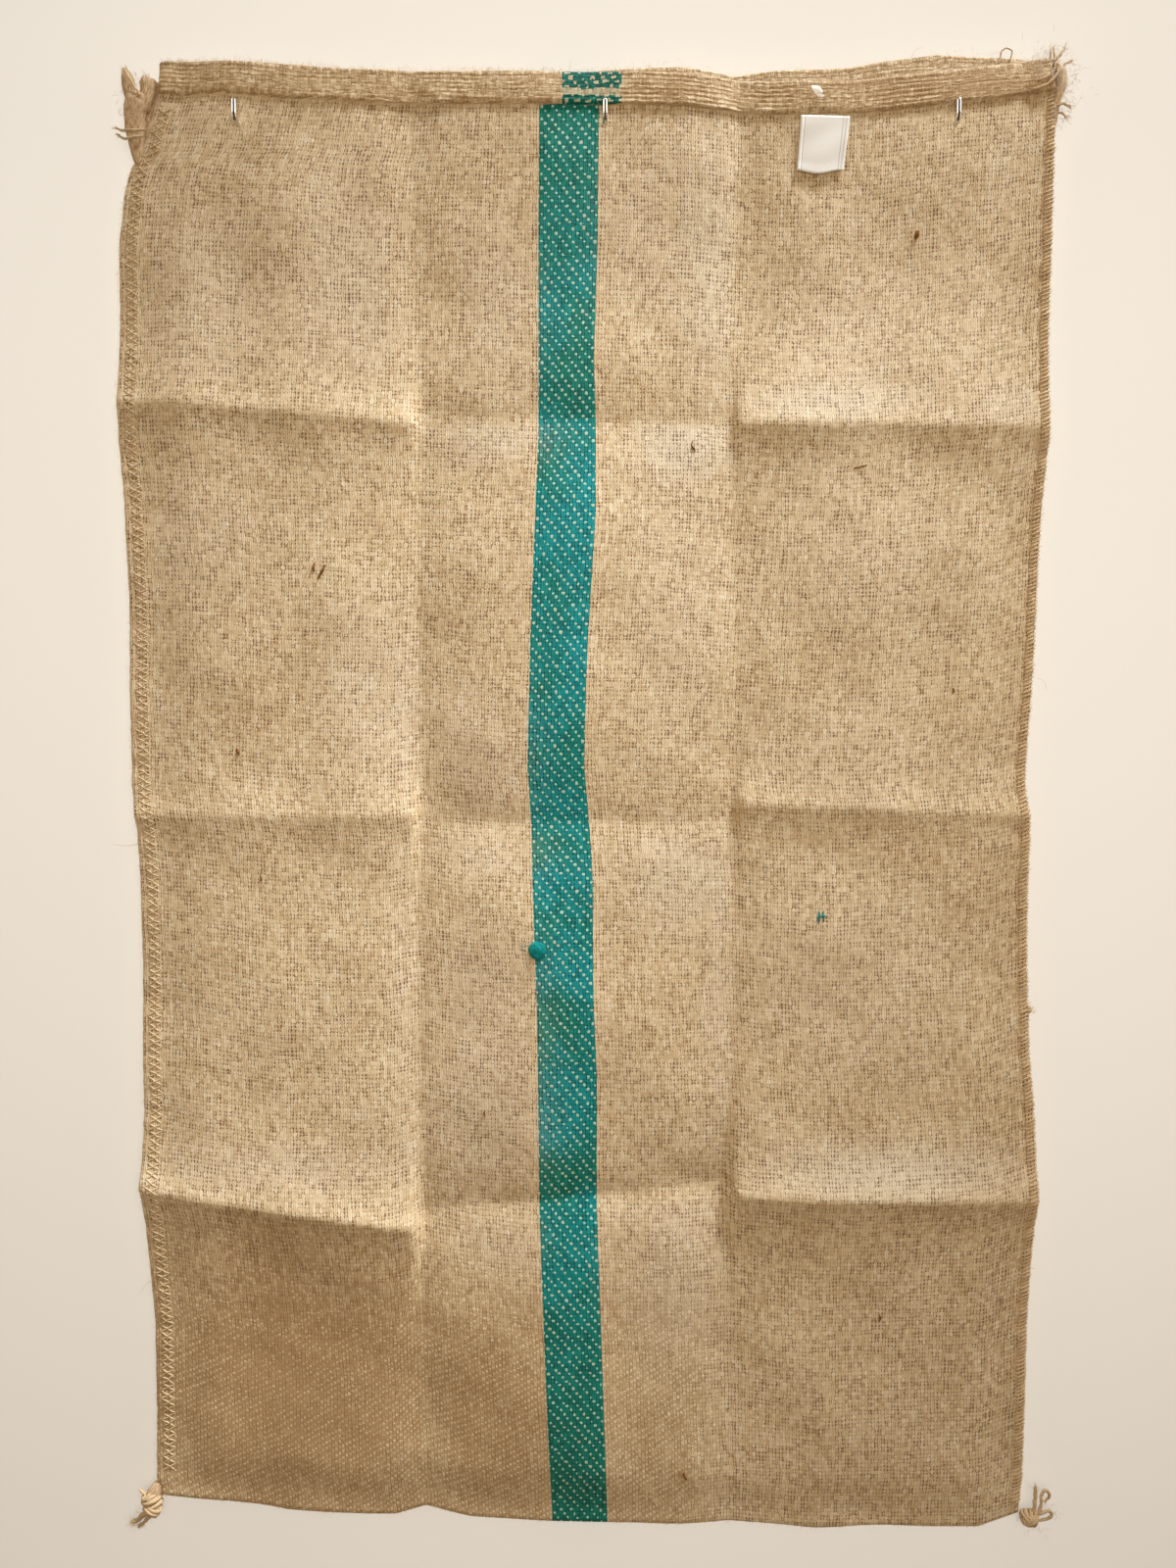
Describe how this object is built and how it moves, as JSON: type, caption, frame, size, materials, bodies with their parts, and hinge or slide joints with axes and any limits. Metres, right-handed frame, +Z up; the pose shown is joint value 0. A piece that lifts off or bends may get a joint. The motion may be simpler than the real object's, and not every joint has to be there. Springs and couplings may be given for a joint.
{
  "type": "jute sack on wall hooks",
  "caption": "Flat open-mouthed jute twill sack with a coloured centre stripe, hemmed mouth, overcast sides and a bare sewn label, hung through its weave on wall hooks.",
  "frame": {"origin": "where the plate of the centre hook meets the wall", "axes": "+Z up, -Y out of the wall towards the viewer, +X to the right as seen from the front"},
  "size_m": [0.7305, 0.0375, 1.1412],
  "materials": {
    "jute_twill": "coarse natural jute, double-warp 2/1 twill, hairy and dull, with a teal dyed stripe in the warp",
    "jute_twine": "loose twisted jute twine and frayed ends",
    "label_tape": "white non-woven label tape, bare but for a thin rule along two edges",
    "nickel": "polished nickel plate on steel wire"
  },
  "bodies": {
    "root": {"sack_cloth": "jute_twill", "label": "label_tape", "ear_top_left": "jute_twine", "fray_top_right": "jute_twine", "knot_bottom_left": "jute_twine", "knot_bottom_right": "jute_twine", "hook_left": "nickel", "hook_centre": "nickel", "hook_right": "nickel"}
  },
  "joints": []
}
